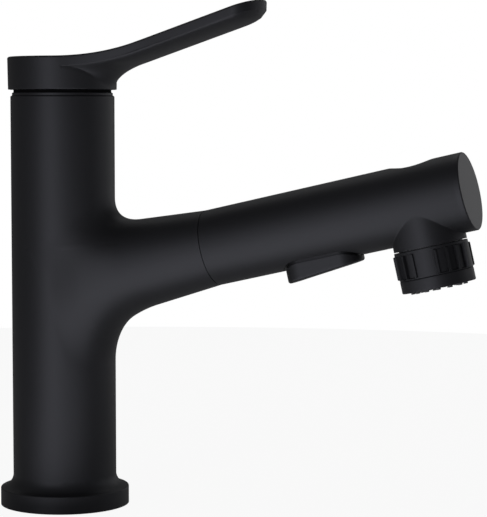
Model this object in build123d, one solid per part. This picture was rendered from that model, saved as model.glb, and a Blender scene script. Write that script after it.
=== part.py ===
from build123d import *
import os
from math import atan2, cos, degrees, radians, sin, sqrt, tan

# Single-lever basin mixer with a pull-out spray head, in millimetres.
# Origin: centre of the foot on the deck. +Z up, +X along the spout, Y across it.

# Column and flared foot
column_r = 22.0
column_top_z = 174.3
column_wall = 4.0
flange_out = 5.4
flange_r = column_r + flange_out
flange_h = 7.3
flange_slope_deg = 15
flange_blend_r = 1.04 * flange_out
flange_edge_r = 0.5
edge_break = 0.4

# Spout arm: measured along the spout axis from the column axis
spout_z = 95.6
spout_rise_deg = 12.93
seam_s = 70.2
tube_r = 15.77
arm_root_r = 21.9
arm_bore_r = 12.9
arm_swell = 17.0
arm_swell_s = 40.0
junction_r = 8.5
dock_depth = 16.0
dock_wall = 2.2

# General clearances
slip_gap = 0.1
run_gap = 0.06
free_gap = 0.3

# Cartridge and its chamber in the column
cup_depth = 36.3
cup_floor_t = 10.0
cartridge_r = 17.5
cartridge_shoulder_h = 22.0
cartridge_h = 31.0
cartridge_base_t = 4.5
disc_t = 3.5
fixed_disc_r = 13.4
moving_disc_r = 11.0
mix_pocket_l = 15.4
mix_pocket_w = 8.8
mix_pocket_t = 2.1
carrier_t = 5.5
carrier_flat = 9.0
chamber_r = 15.0
turret_r = 13.1
turret_rim_r = 14.6
turret_rim_t = 7.0
turret_above_pivot = 7.5
stem_arm = 9.5
stem_w = 8.0
stem_ball_r = 3.2
stem_ball_proud = 1.7
stem_neck_w = 4.8
pivot_pin_r = 1.5
lift_deg = 20.0
nut_r = 19.4
nut_h = 12.5
nut_key_depth = 1.6
housing_neck_wall = 2.2
neck_r = 21.3
neck_h = 1.3
neck_chamfer = 0.5
neck_lip_w = 2.4
neck_collar_h = 3.0

# Water ports through the chamber floor and the foot
inlet_x = -1.0
inlet_y = 10.0
outlet_x = -6.2
port_r = 2.6
seal_r = 4.6
seal_h = 1.8
pipe_r = 4.0
pipe_wall = 1.0
pipe_seat = 3.0
thread_r = 4.5
foot_z = 0.5
foot_t = 12.0
stud_r = 2.5
stud_x = -14.2
gasket_r = 24.8
gasket_w = 2.0
gasket_t = 1.5

# Spray hose inside the body
hose_r = 5.5
hose_wall = 2.0
hose_x = 7.0
hose_bend_r = 33.0
hose_low_z = 12.0
coupling_r = 7.0
coupling_h = 22.0
coupling_hex_r = 8.0
coupling_hex_h = 5.5
ferrule_r = 7.2
ferrule_l = 9.0
swivel_r = 9.4
swivel_l = 8.0
swivel_flats_l = 5.6

# Handle: cap over the cartridge, and the lever
handle_gap = 2.5
cap_r = 22.96
cap_skirt = 0.62
band_r = 23.2
band_t = 4.0
cap_h = 13.8
cap_roof_t = 6.2
socket_boss_r = 8.0
socket_boss_h = 5.5
socket_depth = 10.5
rise_start_x = 5.0
rise_r = 107.0
lever_rise_deg = 18.2
lever_half_w = 13.5
lever_tip_x = 90.7
lever_tip_l = 10.0
lever_belly = 3.5
waist_r = 86.0
web_r = 7.0
lever_edge_r = 0.7
belly_inset = 0.05
belly_root_count = 4
belly_root_share = 0.15
belly_web_count = 6
belly_bar_count = 8
belly_tip_count = 7
belly_tip_step_deg = 12.0
screw_r = 2.1
screw_l = 8.0
screw_drop = 3.3
hex_r = 1.15
hex_depth = 3.2
plug_r = 2.6
plug_l = 3.5

# Spray head: a tube with a boss for the nozzle
head_end_s = 181.6
seam_gap = 0.3
shell_wall = 2.47
end_cap_t = 2.4
end_cap_plug_l = 3.6
end_cap_edge_r = 0.5
spigot_l = 14.0
spigot_flange_l = 3.2
spigot_bore_r = 3.6
valve_r = 5.2
valve_l = 7.5
valve_wall = 1.0
valve_spoke_w = 1.2
valve_spoke_t = 1.5
poppet_r = 2.8
poppet_tip_r = 1.2
poppet_l = 4.5
channel_r = 3.6
channel_t = -7.2
channel_link_l = 4.0
o_ring_r = 0.9
dish_s = 160.3
dish_depth = 1.1
dish_r = 26.8

# Rocker button on the underside of the spray head
rocker_s = 117.1
rocker_l = 32.0
rocker_w = 18.0
rocker_corner_r = 4.5
rocker_top_t = 9.0
rocker_rear_t = 20.8
rocker_front_t = 17.7
rocker_edge_r = 0.7
rocker_end_gap = 1.2
rocker_side_gap = 0.4
rocker_pin_t = 11.0
rocker_pin_r = 1.25
rocker_ear_y = 6.0
rocker_ear_w = 2.0
rocker_ear_l = 5.0
rocker_ear_rim = 2.2
rocker_ear_room = 1.2
rocker_ear_gap = 0.7
rocker_well_t = 5.0
rocker_lug_w = 2.6
spool_t = 1.6
spool_r = 2.5
spool_l = 22.0
spool_travel = 2.5
spool_seal_r = 0.45
spool_seal_inset = 2.5
spool_notch_depth = 3.5
spool_notch_gap = 0.5

# Nozzle under the boss, measured from the spout axis along the nozzle axis
nozzle_s = 161.0
boss_r = 14.8
boss_t = 17.8
ring_r = 14.9
ring_end_t = 34.6
ring_wall = 1.9
ring_gap = 0.3
rib_out = 0.7
rib_w = 1.1
rib_l = 9.4
rib_start = 1.4
rib_groups = 4
ribs_in_group = 4
rib_pitch_deg = 18.0
rib_turn_deg = 19.0
pocket_depth = 0.6
nipple_bore_r = 8.0
nipple_end_t = 24.0
nipple_seat_t = 6.6
nipple_top_t = -8.0
nozzle_seal_t = 1.5
distributor_t = 2.5
pad_t = 3.5
face_t = 2.0
aerator_r = 5.6
aerator_wall = 1.0
aerator_recess = 0.6
aerator_bar_w = 0.8
aerator_bar_t = 2.5
nub_r = 0.85
nub_bore_r = 0.4
feed_hole_r = 0.5
nub_out = 0.8
nub_inner_r = 7.7
nub_inner_count = 8
nub_outer_r = 10.8
nub_outer_count = 14

# Frames along the spout and down the nozzle
rise = radians(spout_rise_deg)
spout_dir = Vector(cos(rise), 0, sin(rise))
down_dir = Vector(sin(rise), 0, -cos(rise))
spout = Plane(origin=(0, 0, spout_z), x_dir=down_dir, z_dir=spout_dir).location
nozzle = Plane(origin=Vector(0, 0, spout_z) + spout_dir * nozzle_s, x_dir=spout_dir, z_dir=down_dir).location

# Levels that several pieces share
bore_r = column_r - column_wall
cup_r = cartridge_r + slip_gap
dock_r = tube_r - dock_wall
spigot_r = dock_r - dock_wall / 2 - slip_gap
dock_s = seam_s - dock_depth
core_r = tube_r - shell_wall - slip_gap
cup_floor_z = column_top_z - cup_depth
disc_z = cup_floor_z + cartridge_base_t
moving_z = disc_z + disc_t
carrier_z = moving_z + disc_t
ball_z = carrier_z + carrier_t - stem_ball_r + stem_ball_proud
pivot_z = ball_z + stem_arm
shoulder_z = cup_floor_z + cartridge_shoulder_h
cartridge_top_z = cup_floor_z + cartridge_h
cap_low_z = column_top_z + handle_gap
cap_top_z = cap_low_z + cap_h
cap_inner_r = cap_r - cap_skirt
roof_z = cap_top_z - cap_roof_t
socket_z = roof_z - socket_boss_h
lever_rise = radians(lever_rise_deg)
lever_arc_end_x = rise_start_x + rise_r * sin(lever_rise)
foot_top_z = foot_z + foot_t
housing_neck_r = turret_r + housing_neck_wall
hose_end_s = seam_s + seam_gap - spigot_l - swivel_l
ring_bore_r = ring_r - ring_wall
distributor_start = nipple_end_t + nozzle_seal_t
pad_start = distributor_start + distributor_t
face_start = pad_start + pad_t
spool_seal_offset = spool_l / 2 - spool_seal_inset
spool_seal_places = (rocker_s - spool_seal_offset, rocker_s + spool_seal_offset)
nub_rings = ((nub_inner_r, nub_inner_count), (nub_outer_r, nub_outer_count))
ports = ((inlet_x, inlet_y), (inlet_x, -inlet_y), (outlet_x, 0))
BASE = (Align.CENTER, Align.CENTER, Align.MIN)
DOWN = (Align.MIN, Align.CENTER, Align.CENTER)
BAR = (Align.MIN, Align.CENTER, Align.MIN)
WEDGE = (Align.NONE, Align.NONE, Align.MIN)


def disc(r, z0, z1):
    """A plain cylinder on the local Z axis from z0 to z1."""
    return Pos(0, 0, z0) * Cylinder(r, z1 - z0, align=BASE)


def ring(r_out, r_in, z0, z1):
    """A plain tube on the local Z axis from z0 to z1."""
    return disc(r_out, z0, z1) - disc(r_in, z0, z1)


def sector(r, angle, z, h):
    """A wedge of a cylinder from the local X axis through angle."""
    return Pos(0, 0, z) * Cylinder(r, h, arc_size=angle, align=WEDGE)


def o_ring(r_seat, z):
    """A round seal of the common section around the local Z axis, on a seat of radius r_seat."""
    return Pos(0, 0, z) * Torus(r_seat + o_ring_r, o_ring_r)


def arm_radius(s):
    """The arm tapers from its root at the column axis to the spray head's radius at the seam."""
    return arm_root_r + (tube_r - arm_root_r) * s / seam_s


def arm_section(s):
    """Cross-section of the arm: round above, and drawn down towards the column below."""
    r = arm_radius(s)
    drop = arm_swell * max(0.0, 1 - s / arm_swell_s) ** 2
    upper = CenterArc((0, 0), r, 90, 180)
    lower = EllipticalCenterArc((0, 0), r + drop, r, start_angle=-90, arc_size=180)
    return spout * (Pos(0, 0, s) * make_face(upper + lower))


def body_outside():
    """Column with its flared foot, joined to the arm by a rounded junction."""
    flare_z = flange_h + flange_out * tan(radians(flange_slope_deg))
    outline = FilletPolyline(
        (0, 0), (flange_r, 0), (flange_r, flange_h), (column_r, flare_z), (column_r, column_top_z),
        (0, column_top_z),
        radius=[0, 0, flange_edge_r, flange_blend_r, edge_break, 0], close=True,
    )
    column = revolve(Plane.XZ * make_face(outline), Axis.Z)
    stations = [seam_s * k / 12 for k in range(13)]
    arm = loft([arm_section(s) for s in stations])
    joined = column + arm
    return fillet(new_edges(column, arm, combined=joined), junction_r)


def body_casting():
    """The casting: foot, hollow column, chamber floor with three ports, and the hollow arm."""
    body = body_outside()
    body -= disc(bore_r, 0, cup_floor_z - cup_floor_t)
    body -= disc(cup_r, cup_floor_z, column_top_z)
    body -= disc(nut_r + slip_gap, shoulder_z - 2 * slip_gap, column_top_z)
    body -= spout * disc(arm_bore_r, 0, dock_s)
    body -= spout * disc(dock_r, dock_s, seam_s + 1)
    body -= ring(gasket_r + gasket_w / 2, gasket_r - gasket_w / 2, 0, gasket_t)
    for x, y in ports:
        body -= Pos(x, y) * disc(port_r, cup_floor_z - cup_floor_t, cup_floor_z)
        body -= Pos(x, y) * disc(pipe_r, cup_floor_z - cup_floor_t, cup_floor_z - cup_floor_t + pipe_seat)
    return body


def foot_gasket():
    """Flat rubber ring in the groove under the foot."""
    return ring(gasket_r + gasket_w / 2, gasket_r - gasket_w / 2, 0, gasket_t)


def foot_block():
    """Brass block in the foot: threaded ports below, pipe seats above, stud hole and hose passage."""
    block = disc(bore_r, foot_z, foot_top_z)
    for x, y in ports:
        block -= Pos(x, y) * disc(thread_r, foot_z, foot_top_z - pipe_seat)
        block -= Pos(x, y) * disc(pipe_r, foot_top_z - pipe_seat, foot_top_z)
    block -= Pos(stud_x, 0) * disc(stud_r, foot_z, foot_top_z)
    block -= Pos(hose_x, 0) * disc(coupling_r, foot_z, foot_top_z)
    return block


def pipe(x, y):
    """Water pipe from its seat in the foot block to its seat under the chamber floor."""
    return Pos(x, y) * ring(pipe_r, pipe_r - pipe_wall, foot_top_z - pipe_seat,
                            cup_floor_z - cup_floor_t + pipe_seat)


def spray_hose():
    """Hose inside the body: up the column, one bend, and along the arm to the ferrule."""
    corner = Vector(hose_x, 0, spout_z + hose_x * tan(rise))
    low = Vector(hose_x, 0, hose_low_z)
    end = Vector(0, 0, spout_z) + spout_dir * (hose_end_s - slip_gap)
    route = FilletPolyline(low, corner, end, radius=hose_bend_r)
    section = Plane(origin=low, z_dir=(0, 0, 1)) * (Circle(hose_r) - Circle(hose_r - hose_wall))
    return sweep(section, path=route)


def hose_coupling():
    """Coupling on the lower end of the hose, held in the foot block."""
    coupling = disc(coupling_r, foot_z, foot_z + coupling_h)
    coupling += Pos(0, 0, foot_top_z) * extrude(RegularPolygon(coupling_hex_r, 6), coupling_hex_h)
    coupling -= disc(hose_r - hose_wall, foot_z, hose_low_z)
    coupling -= disc(hose_r, hose_low_z, foot_z + coupling_h)
    return Pos(hose_x, 0) * coupling


def dock_bush():
    """Plastic liner in the arm's mouth that guides the spray head's spigot."""
    return spout * ring(dock_r, spigot_r + slip_gap, dock_s, seam_s - seam_gap)


# Cartridge

def cartridge_base():
    """Bottom plate of the cartridge, with a pocket around each port for its seal."""
    base = disc(cartridge_r, cup_floor_z, disc_z)
    for x, y in ports:
        base -= Pos(x, y) * disc(port_r, cup_floor_z, disc_z)
        base -= Pos(x, y) * disc(seal_r, cup_floor_z, cup_floor_z + seal_h)
    return base


def port_seals():
    """Three rubber rings between the chamber floor and the cartridge base."""
    return Compound([Pos(x, y) * ring(seal_r, port_r, cup_floor_z, cup_floor_z + seal_h) for x, y in ports])


def fixed_disc():
    """Lower ceramic disc with the three ports."""
    plate = disc(fixed_disc_r, disc_z, moving_z)
    for x, y in ports:
        plate -= Pos(x, y) * disc(port_r, disc_z, moving_z)
    return plate


def moving_disc():
    """Upper ceramic disc with a mixing pocket in its underside."""
    pocket = Pos(0, 0, moving_z) * extrude(SlotOverall(mix_pocket_l, mix_pocket_w), mix_pocket_t)
    return disc(moving_disc_r, moving_z, carrier_z) - pocket


def disc_carrier():
    """Slider on the moving disc, with flats for the turret's channel and a pocket for the stem's ball."""
    block = disc(moving_disc_r, carrier_z, carrier_z + carrier_t)
    block &= Pos(0, 0, carrier_z) * Box(2 * moving_disc_r, 2 * carrier_flat, carrier_t, align=BASE)
    pocket_floor = ball_z - stem_ball_r - free_gap
    pocket_side = 2 * (stem_ball_r + free_gap)
    return block - Pos(0, 0, pocket_floor) * Box(pocket_side, pocket_side, carrier_t, align=BASE)


def cartridge_housing():
    """Plastic housing that centres the discs and carries the turret."""
    step_z = carrier_z + turret_rim_t + 2 * free_gap
    housing = disc(cartridge_r, disc_z, shoulder_z) + disc(housing_neck_r, shoulder_z, cartridge_top_z)
    housing -= disc(fixed_disc_r, disc_z, moving_z)
    housing -= disc(chamber_r, moving_z, step_z)
    return housing - disc(turret_r + run_gap, step_z, cartridge_top_z)


def stem_slot():
    """Room for the stem in the turret: the stem upright and tilted by the full lift, with a free gap."""
    half = stem_w / 2 + free_gap
    lean = tan(radians(lift_deg))
    wide = half / cos(radians(lift_deg)) + free_gap
    up = turret_above_pivot + 1
    low = pivot_z - carrier_z
    outline = Polyline(
        (half, up), (half, 0), (wide + low * lean, -low), (-half, -low), (-half, 0), (-wide - up * lean, up),
        close=True,
    )
    return Pos(0, 0, pivot_z) * extrude(Plane.XZ * make_face(outline), half, both=True)


def cartridge_turret():
    """Turning holder of the stem: a rim with a channel for the disc carrier, and a slotted barrel."""
    rim_z = carrier_z + free_gap
    turret = disc(turret_rim_r, rim_z, rim_z + turret_rim_t)
    turret += disc(turret_r, rim_z, pivot_z + turret_above_pivot)
    channel_t = carrier_z + carrier_t + free_gap - rim_z
    turret -= Pos(0, 0, rim_z) * Box(3 * turret_rim_r, 2 * (carrier_flat + run_gap), channel_t, align=BASE)
    turret -= stem_slot()
    return turret - Pos(0, 0, pivot_z) * Rot(90, 0, 0) * Cylinder(pivot_pin_r, 3 * turret_r)


def pivot_pin():
    """Steel pin across the turret, on which the stem tilts."""
    return Pos(0, 0, pivot_z) * Rot(90, 0, 0) * Cylinder(pivot_pin_r, 2 * turret_r - 1)


def lever_stem():
    """Square stem: ball below the pivot, pin hole, and the square end that the handle clamps."""
    top_z = socket_z + socket_depth
    stem = Pos(0, 0, ball_z) * Box(stem_neck_w, stem_neck_w, stem_arm, align=BASE)
    stem += Pos(0, 0, pivot_z - stem_w / 2) * Box(stem_w, stem_w, top_z - pivot_z + stem_w / 2, align=BASE)
    stem += Pos(0, 0, ball_z) * Sphere(stem_ball_r)
    return stem - Pos(0, 0, pivot_z) * Rot(90, 0, 0) * Cylinder(pivot_pin_r + run_gap, 2 * stem_w)


def cartridge_nut():
    """Brass ring screwed into the column, which presses the cartridge onto its seat."""
    nut = ring(nut_r, housing_neck_r + slip_gap, shoulder_z, shoulder_z + nut_h)
    key = extrude(RegularPolygon(nut_r - nut_key_depth, 12), nut_h / 2)
    return nut - Pos(0, 0, shoulder_z + nut_h / 2) * key


def neck_ring():
    """Trim ring on top of the column, with a collar that closes the gap under the handle."""
    lip_r = nut_r - slip_gap
    inner_r = lip_r - neck_lip_w
    collar = disc(neck_r, column_top_z, column_top_z + neck_h)
    collar = chamfer(collar.edges().group_by(Axis.Z)[-1], neck_chamfer)
    collar += disc(lip_r, shoulder_z + nut_h, column_top_z + neck_collar_h)
    return collar - disc(inner_r, 0, cap_top_z)


# Handle

def lever_top(x):
    """Height of the lever's top edge: level over the cap, an arc, then a straight rise."""
    if x <= rise_start_x:
        return cap_top_z
    if x <= lever_arc_end_x:
        return cap_top_z + rise_r - sqrt(rise_r ** 2 - (x - rise_start_x) ** 2)
    return cap_top_z + rise_r * (1 - cos(lever_rise)) + (x - lever_arc_end_x) * tan(lever_rise)


def tip_factor(x):
    """Quarter-ellipse that rounds the lever's end: 1 up to the tip's start, 0 at its very end."""
    beyond = max(0.0, x - lever_tip_x + lever_tip_l) / lever_tip_l
    return sqrt(max(0.0, 1 - beyond ** 2))


def lever_half(x):
    """Half width of the lever in plan: the cap's circle, a hollow waist arc, parallel sides, rounded tip."""
    waist_y = lever_half_w + waist_r
    waist_x = sqrt((band_r + waist_r) ** 2 - waist_y ** 2)
    touch_x = waist_x * band_r / (band_r + waist_r)
    if x <= touch_x:
        return sqrt(band_r ** 2 - x ** 2)
    if x <= waist_x:
        return waist_y - sqrt(waist_r ** 2 - (waist_x - x) ** 2)
    return lever_half_w * tip_factor(x)


def lever_bottom(x):
    """Lowest line of the lever: a web rounded into the front of the cap, then the belly along the lever."""
    depth = band_t + lever_belly * tip_factor(x)
    belly = lever_top(x) - depth / cos(lever_rise)
    web_x = cap_r + web_r
    touch_x = web_x - web_r * sin(lever_rise)
    touch_z = lever_top(touch_x) - (band_t + lever_belly) / cos(lever_rise)
    web_z = touch_z - web_r * cos(lever_rise)
    if x <= cap_r:
        return web_z
    if x <= touch_x:
        return web_z + sqrt(web_r ** 2 - (web_x - x) ** 2)
    return belly


def lever_plan():
    """Outline of cap and lever from above: round cap, hollow waist, parallel sides, half-ellipse tip."""
    waist_y = lever_half_w + waist_r
    waist_x = sqrt((band_r + waist_r) ** 2 - waist_y ** 2)
    touch = degrees(atan2(waist_y, waist_x))
    tip_x = lever_tip_x - lever_tip_l
    outline = CenterArc((0, 0), band_r, touch, 360 - 2 * touch)
    outline += CenterArc((waist_x, -waist_y), waist_r, 180 - touch, touch - 90)
    outline += Line((waist_x, -lever_half_w), (tip_x, -lever_half_w))
    outline += EllipticalCenterArc((tip_x, 0), lever_tip_l, lever_half_w, start_angle=-90, arc_size=180)
    outline += Line((tip_x, lever_half_w), (waist_x, lever_half_w))
    outline += CenterArc((waist_x, waist_y), waist_r, -90, touch - 90)
    return make_face(outline)


def lever_side():
    """Side view of the edge band: level over the cap, an arc, then a straight rise, all of one thickness."""
    rear = (-2 * band_r, cap_top_z)
    start = (rise_start_x, cap_top_z)
    arc_end = (lever_arc_end_x, lever_top(lever_arc_end_x))
    middle = (lever_arc_end_x / 2, lever_top(lever_arc_end_x / 2))
    front = (lever_tip_x + band_r, lever_top(lever_tip_x + band_r))
    top = Line(rear, start) + ThreePointArc(start, middle, arc_end) + Line(arc_end, front)
    low = Pos(0, -band_t) * top
    ends = Line(rear, (rear[0], rear[1] - band_t)) + Line(front, (front[0], front[1] - band_t))
    return make_face(top + low + ends)


def lever_plate():
    """Edge band and top of cap and lever: the plan cut to the side view, its top edge broken."""
    plan = extrude(lever_plan(), 2 * cap_top_z)
    plate = plan & extrude(Plane.XZ.location * lever_side(), 2 * band_r, both=True)
    top = plate.faces().filter_by(lambda face: face.normal_at().Z > 0.5)
    rim = top.edges() - top.edges().filter_by(Axis.Y)
    return fillet(rim, lever_edge_r)


def belly_section(x):
    """Cross-section of the lever's round belly at x, its flat side inside the edge band."""
    half = lever_half(x) - belly_inset
    edge = lever_top(x) - band_t
    low = min(lever_bottom(x), edge - belly_inset)
    outline = Polyline((half, edge), (half, edge + band_t / 2), (-half, edge + band_t / 2), (-half, edge))
    belly = ThreePointArc((-half, edge), (0, low), (half, edge))
    return Plane(origin=(x, 0, 0), x_dir=(0, 1, 0), z_dir=(1, 0, 0)) * make_face(outline + belly)


def lever_belly_bar():
    """Underside of the lever, from the web in front of the cap to the rounded tip."""
    tip_x = lever_tip_x - lever_tip_l
    web_turn = 90 - lever_rise_deg
    root = [cap_r * (1 - belly_root_share * k) for k in range(belly_root_count, 0, -1)]
    web = [
        cap_r + web_r * (1 - cos(radians(web_turn * k / belly_web_count))) for k in range(belly_web_count + 1)
    ]
    bar = [web[-1] + (tip_x - web[-1]) * k / belly_bar_count for k in range(1, belly_bar_count + 1)]
    tip = [tip_x + lever_tip_l * sin(radians(belly_tip_step_deg * k)) for k in range(1, belly_tip_count + 1)]
    return loft([belly_section(x) for x in root + web + bar + tip], ruled=True)


def handle():
    """Cap and lever in one casting: hollow below, with a square socket for the stem."""
    body = disc(cap_r, cap_low_z, cap_top_z - band_t / 2)
    body += lever_plate() + lever_belly_bar()
    body -= disc(cap_inner_r, cap_low_z, roof_z)
    body += disc(socket_boss_r, socket_z, roof_z)
    body -= Pos(0, 0, socket_z) * Box(stem_w, stem_w, socket_depth, align=BASE)
    screw_z = cap_top_z - screw_drop
    body -= Pos(-stem_w / 2, 0, screw_z) * Rot(0, -90, 0) * Cylinder(screw_r, cap_r, align=BASE)
    return body - Pos(-band_r + plug_l, 0, screw_z) * Rot(0, -90, 0) * Cylinder(plug_r, cap_r, align=BASE)


def set_screw():
    """Grub screw that clamps the stem from the back of the cap."""
    screw = Cylinder(screw_r, screw_l, align=BASE)
    screw -= Pos(0, 0, screw_l - hex_depth) * extrude(RegularPolygon(hex_r, 6), hex_depth)
    return Pos(-stem_w / 2, 0, cap_top_z - screw_drop) * Rot(0, -90, 0) * screw


def screw_plug():
    """Plain plug that closes the screw's hole at the back of the cap."""
    plug = Rot(0, -90, 0) * Cylinder(plug_r, 2 * plug_l, align=BASE)
    return Pos(-band_r + plug_l, 0, cap_top_z - screw_drop) * plug & disc(band_r, cap_low_z, cap_top_z)


# Spray head

def rocker_slot():
    """Opening for the rocker in the underside of the shell."""
    slot = RectangleRounded(rocker_w + 2 * rocker_side_gap, rocker_l + 2 * rocker_end_gap, rocker_corner_r)
    return extrude(Plane(origin=(0, 0, rocker_s), x_dir=(0, 1, 0), z_dir=(1, 0, 0)) * slot, 2 * tube_r)


def head_shell():
    """Tube of the spray head with the nozzle boss, the rocker's opening and the thumb dish."""
    inner_r = tube_r - shell_wall
    shell = spout * disc(tube_r, seam_s + seam_gap, head_end_s - end_cap_t)
    shell += nozzle * disc(boss_r, 0, boss_t)
    shell -= spout * disc(inner_r, seam_s, head_end_s)
    shell -= nozzle * disc(boss_r - ring_wall, 0, boss_t)
    shell -= spout * rocker_slot()
    dish = Pos(dish_depth - tube_r - dish_r, 0, dish_s) * Sphere(dish_r)
    return shell - spout * dish


def head_end_cap():
    """Disc that closes the spray head, with a plug that fits the tube."""
    cap = disc(tube_r, head_end_s - end_cap_t, head_end_s)
    cap = fillet(cap.edges().group_by(Axis.Z)[-1], end_cap_edge_r)
    cap += ring(core_r, core_r - shell_wall, head_end_s - end_cap_t - end_cap_plug_l, head_end_s - end_cap_t)
    return spout * cap


def head_spigot():
    """Connector at the back of the head: a plug that docks in the arm and carries the hose."""
    flange_s = seam_s + seam_gap
    spigot = disc(spigot_r, flange_s - spigot_l, flange_s) + disc(core_r, flange_s, flange_s + spigot_flange_l)
    spigot -= disc(spigot_bore_r, flange_s - spigot_l, flange_s)
    spigot -= disc(valve_r, flange_s + spigot_flange_l - valve_l, flange_s + spigot_flange_l)
    groove_s = flange_s - spigot_l / 2
    spigot -= ring(spigot_r, spigot_r - 2 * o_ring_r, groove_s - o_ring_r, groove_s + o_ring_r)
    return spout * spigot


def spigot_seal():
    """O-ring in the spigot's groove."""
    return spout * o_ring(spigot_r - 2 * o_ring_r, seam_s + seam_gap - spigot_l / 2)


def check_valve():
    """Non-return valve in the spigot: a cage with a poppet on its spokes."""
    end_s = seam_s + seam_gap + spigot_flange_l
    spoke_s = end_s - valve_wall - valve_spoke_t
    cage = ring(valve_r, valve_r - valve_wall, end_s - valve_l, end_s)
    cage += Pos(0, 0, spoke_s) * Box(2 * valve_r - valve_wall, valve_spoke_w, valve_spoke_t, align=BASE)
    poppet = Pos(0, 0, spoke_s - poppet_l) * Cone(poppet_r, poppet_tip_r, poppet_l, align=BASE)
    return spout * (cage + poppet)


def swivel_nut():
    """Nut that holds the hose's end on the spigot and lets it turn."""
    nut = ring(swivel_r, spigot_bore_r, hose_end_s, hose_end_s + swivel_l)
    around = disc(2 * swivel_r, hose_end_s, hose_end_s + swivel_flats_l)
    flats = Pos(0, 0, hose_end_s) * extrude(RegularPolygon(swivel_r, 6), swivel_flats_l)
    return spout * (nut - (around - flats))


def hose_ferrule():
    """Crimped sleeve on the end of the hose."""
    return spout * ring(ferrule_r, hose_r + run_gap, hose_end_s - ferrule_l, hose_end_s)


def head_core():
    """Inner body of the head: water channel, spool bore, rocker well with its two ears."""
    start = seam_s + seam_gap + spigot_flange_l
    core = disc(core_r, start, head_end_s - end_cap_t - end_cap_plug_l)
    core -= Pos(channel_t, 0, 0) * disc(channel_r, start, nozzle_s)
    core -= disc(valve_r - valve_wall, start, start + channel_link_l)
    core -= Pos(channel_t, 0, start) * Box(-channel_t, 2 * channel_r, 2 * channel_link_l, align=DOWN)
    well_l = rocker_l + 4 * rocker_end_gap
    core -= Pos(rocker_well_t, 0, rocker_s) * Box(core_r, 3 * core_r, well_l, align=DOWN)
    ear_h = rocker_pin_t + rocker_ear_rim - rocker_well_t
    for side in (1, -1):
        ear = Box(ear_h, rocker_ear_w, rocker_ear_l, align=DOWN)
        core += Pos(rocker_well_t, side * rocker_ear_y, rocker_s) * ear
    core -= rocker_axle(rocker_pin_r)
    spool_room = spool_l / 2 + spool_travel
    core -= Pos(spool_t, 0, 0) * disc(spool_r + run_gap, rocker_s - spool_room, rocker_s + spool_room)
    lug_room = Box(rocker_well_t, rocker_lug_w + 2 * spool_seal_r, 3 * rocker_lug_w, align=DOWN)
    core -= Pos(spool_t, 0, rocker_s) * lug_room
    core = spout * core - nozzle * disc(nipple_bore_r, nipple_top_t, core_r)
    return core - nozzle * disc(boss_r - ring_wall, nipple_seat_t, core_r)


def rocker_axle(r):
    """Cylinder on the rocker's pivot axis, across the head."""
    length = 2 * rocker_ear_y + rocker_ear_w
    return Pos(rocker_pin_t, 0, rocker_s) * Rot(90, 0, 0) * Cylinder(r, length)


def rocker_pin():
    """Steel pin in the two ears, on which the rocker tilts."""
    return spout * rocker_axle(rocker_pin_r)


def rocker_button():
    """Rocker: a wedge with rounded corners, a lug that moves the spool, and pockets for the ears."""
    plan = Plane(origin=(rocker_top_t, 0, rocker_s), x_dir=(0, 1, 0), z_dir=(1, 0, 0))
    block = extrude(plan * RectangleRounded(rocker_w, rocker_l, rocker_corner_r), rocker_rear_t - rocker_top_t)
    rear_s = rocker_s - rocker_l / 2
    front_s = rocker_s + rocker_l / 2
    below = 2 * tube_r
    waste = Polyline(
        (rocker_rear_t, rear_s), (rocker_front_t, front_s), (below, front_s), (below, rear_s), close=True
    )
    across = Plane(origin=(0, 0, 0), x_dir=(1, 0, 0), z_dir=(0, -1, 0))
    block -= extrude(across * make_face(waste), rocker_w, both=True)
    block = fillet(block.faces().sort_by(Axis.X)[-1].edges(), rocker_edge_r)
    pocket_h = rocker_pin_t + rocker_ear_rim + rocker_ear_gap - rocker_top_t
    pocket_l = rocker_ear_l + 4 * free_gap + rocker_ear_room
    for side in (1, -1):
        pocket = Box(pocket_h, rocker_ear_w + 2 * free_gap, pocket_l, align=DOWN)
        block -= Pos(rocker_top_t, side * rocker_ear_y, rocker_s) * pocket
    lug = Box(rocker_pin_t - spool_t, rocker_lug_w, rocker_lug_w, align=DOWN)
    block += Pos(spool_t, 0, rocker_s) * lug
    return spout * (block - rocker_axle(rocker_pin_r + run_gap))


def diverter_spool():
    """Spool that the rocker's lug slides along the head, with two seal grooves."""
    spool = disc(spool_r, rocker_s - spool_l / 2, rocker_s + spool_l / 2)
    spool_groove = 2 * (spool_seal_r + run_gap)
    notch = Box(2 * spool_r, 3 * spool_r, rocker_lug_w + 2 * spool_notch_gap, align=DOWN)
    spool -= Pos(spool_r - spool_notch_depth, 0, rocker_s) * notch
    for s in spool_seal_places:
        spool -= ring(2 * spool_r, spool_r - 2 * spool_seal_r, s - spool_groove / 2, s + spool_groove / 2)
    return spout * (Pos(spool_t, 0, 0) * spool)


def spool_seals():
    """Two small seals in the spool's grooves."""
    seal = Torus(spool_r - spool_seal_r, spool_seal_r)
    return Compound([spout * (Pos(spool_t, 0, s) * seal) for s in spool_seal_places])


# Nozzle

def nozzle_nipple():
    """Threaded nipple in the boss that carries the nozzle ring."""
    return nozzle * ring(boss_r - ring_wall, nipple_bore_r, nipple_seat_t, nipple_end_t)


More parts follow.
